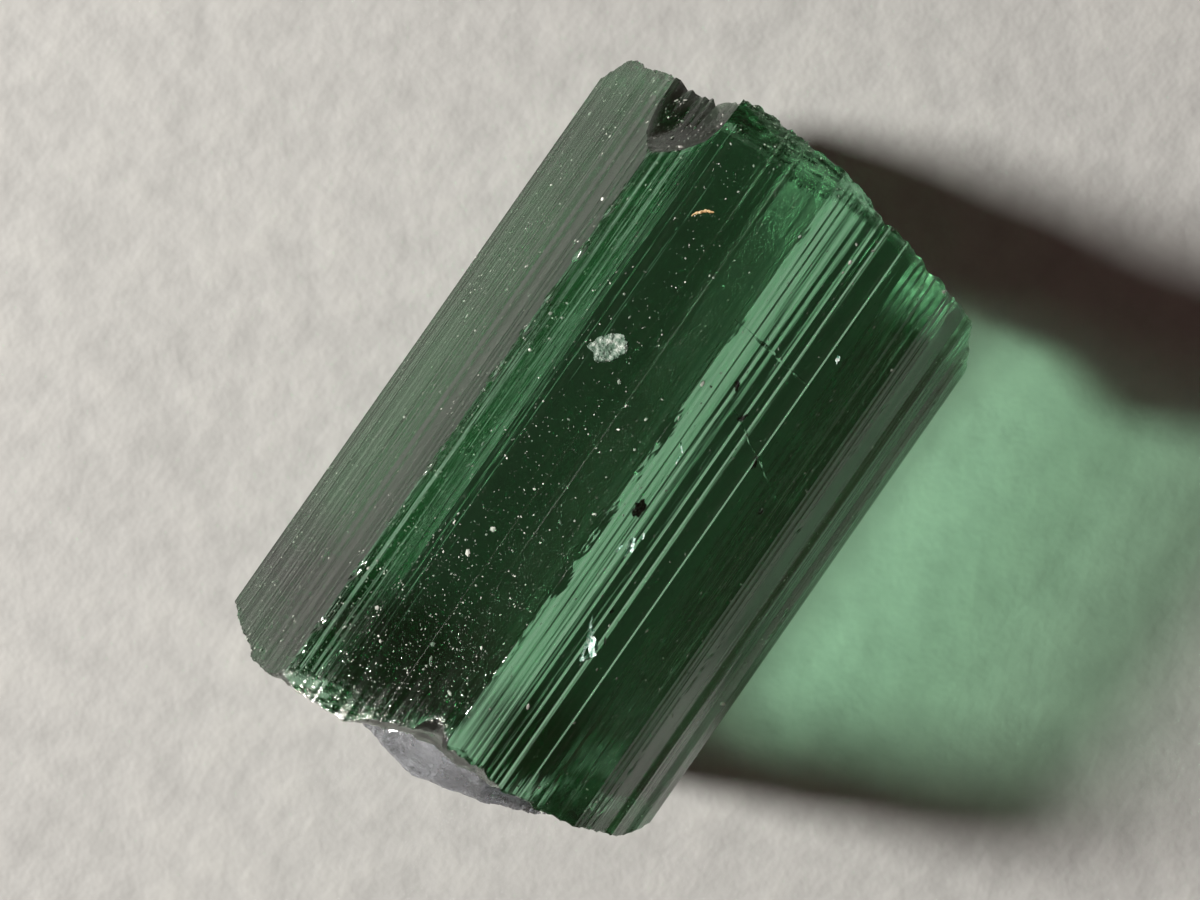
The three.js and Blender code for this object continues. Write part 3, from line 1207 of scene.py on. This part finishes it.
def speckTree(material, segments, rings):
    # small flat pale grains strewn over the surface, thickest where the dust and painted highlight mask is
    # highest
    tree, start, end = newTree("strewnGrains", [
        ("Per square mm", "Float"), ("Smallest", "Float"), ("Largest", "Float"), ("Seed", "Int"),
    ])
    dustAndPaintedHighlight = addNode(tree, "GeometryNodeInputNamedAttribute", {"Name": "dustAndPaintedHighlight"}, data_type="FLOAT")
    density = maths(tree, "MULTIPLY", start.outputs["Per square mm"], 1 / mm ** 2)
    thick = maths(tree, "MULTIPLY", density, dustAndPaintedHighlight.outputs["Attribute"])
    strewn = addNode(tree, "GeometryNodeDistributePointsOnFaces", {
        "Mesh": start.outputs["Geometry"], "Density": thick, "Seed": start.outputs["Seed"],
    })
    grain = addNode(tree, "GeometryNodeMeshUVSphere", {"Segments": segments, "Rings": rings, "Radius": mm})
    chance = addNode(tree, "FunctionNodeRandomValue", {"Seed": start.outputs["Seed"]}, data_type="FLOAT")
    rare = maths(tree, "POWER", chance.outputs[1], 4.0)
    size = addNode(tree, "ShaderNodeMapRange", {
        "Value": rare, "To Min": start.outputs["Smallest"], "To Max": start.outputs["Largest"],
    })
    stretch = addNode(tree, "FunctionNodeRandomValue", {
        0: (0.5, 0.35, 0.2), 1: (1.5, 1.0, 0.6), "Seed": 5,
    }, data_type="FLOAT_VECTOR")
    scale = addNode(tree, "ShaderNodeVectorMath", {
        0: stretch.outputs[0], "Scale": size.outputs["Result"],
    }, operation="SCALE")
    spin = addNode(tree, "FunctionNodeRandomValue", {
        0: (-0.5, -0.5, 0.0), 1: (0.5, 0.5, 6.28), "Seed": 8,
    }, data_type="FLOAT_VECTOR")
    placed = addNode(tree, "GeometryNodeInstanceOnPoints", {
        "Points": strewn.outputs["Points"], "Instance": grain.outputs["Mesh"],
        "Rotation": strewn.outputs["Rotation"], "Scale": scale.outputs[0],
    })
    turned = addNode(tree, "GeometryNodeRotateInstances", {
        "Instances": placed.outputs[0], "Rotation": spin.outputs[0],
    })
    real = addNode(tree, "GeometryNodeRealizeInstances", {"Geometry": turned.outputs[0]})
    dressed = addNode(tree, "GeometryNodeSetMaterial", {"Geometry": real.outputs[0], "Material": material})
    tree.links.new(dressed.outputs[0], end.inputs["Geometry"])
    return tree


def grainMaterial():
    # rock dust and tiny flakes of quartz and feldspar, mostly grey-white, some of them glassy; where they
    # lie thick on the dark face and the breaks their pale colour is also a painted highlight
    material, shader = mottledMaterial(
        "paleRockDustAndPaintedHighlight", {"Scale": 4200.0, "Detail": 2.0},
        [(0.36, "#4f6b58"), (0.5, "#9aa79b"), (0.62, "#eef0ea")],
        {"From Min": 0.35, "From Max": 0.65, "To Min": 0.6, "To Max": 0.2},
    )
    shader.inputs["IOR"].default_value = 1.54
    return material


def strewnPiece(name, values, tree):
    mesh = crystal.data.copy()
    mesh.name = name
    piece = bpy.data.objects.new(name, mesh)
    scene.collection.objects.link(piece)
    return bakeNodes(piece, tree, values)


paleGrains = grainMaterial()
rockDustAndPaintedHighlight = strewnPiece("rockDustAndPaintedHighlight", specks, speckTree(paleGrains, 4, 2))
rockFlakesAndPaintedHighlight = strewnPiece("rockFlakesAndPaintedHighlight", flakes, speckTree(paleGrains, 5, 4))
print("dust:", len(rockDustAndPaintedHighlight.data.polygons), "faces, flakes:", len(rockFlakesAndPaintedHighlight.data.polygons), "faces")


scene.view_settings.view_transform = "Standard"
scene.cycles.max_bounces = 10
scene.cycles.transmission_bounces = 10
scene.cycles.glossy_bounces = 6
scene.cycles.blur_glossy = 0.0      # keeps the dark and bright sides of the crystal apart

pieces = (
    crystal, paleSplinter, micaInclusions, crackFilmsPaintedGlint, paleCrust, lintFibre, rockDustAndPaintedHighlight, rockFlakesAndPaintedHighlight,
)
for piece in pieces:
    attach(piece, "root")
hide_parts("tourmaline_crystal")
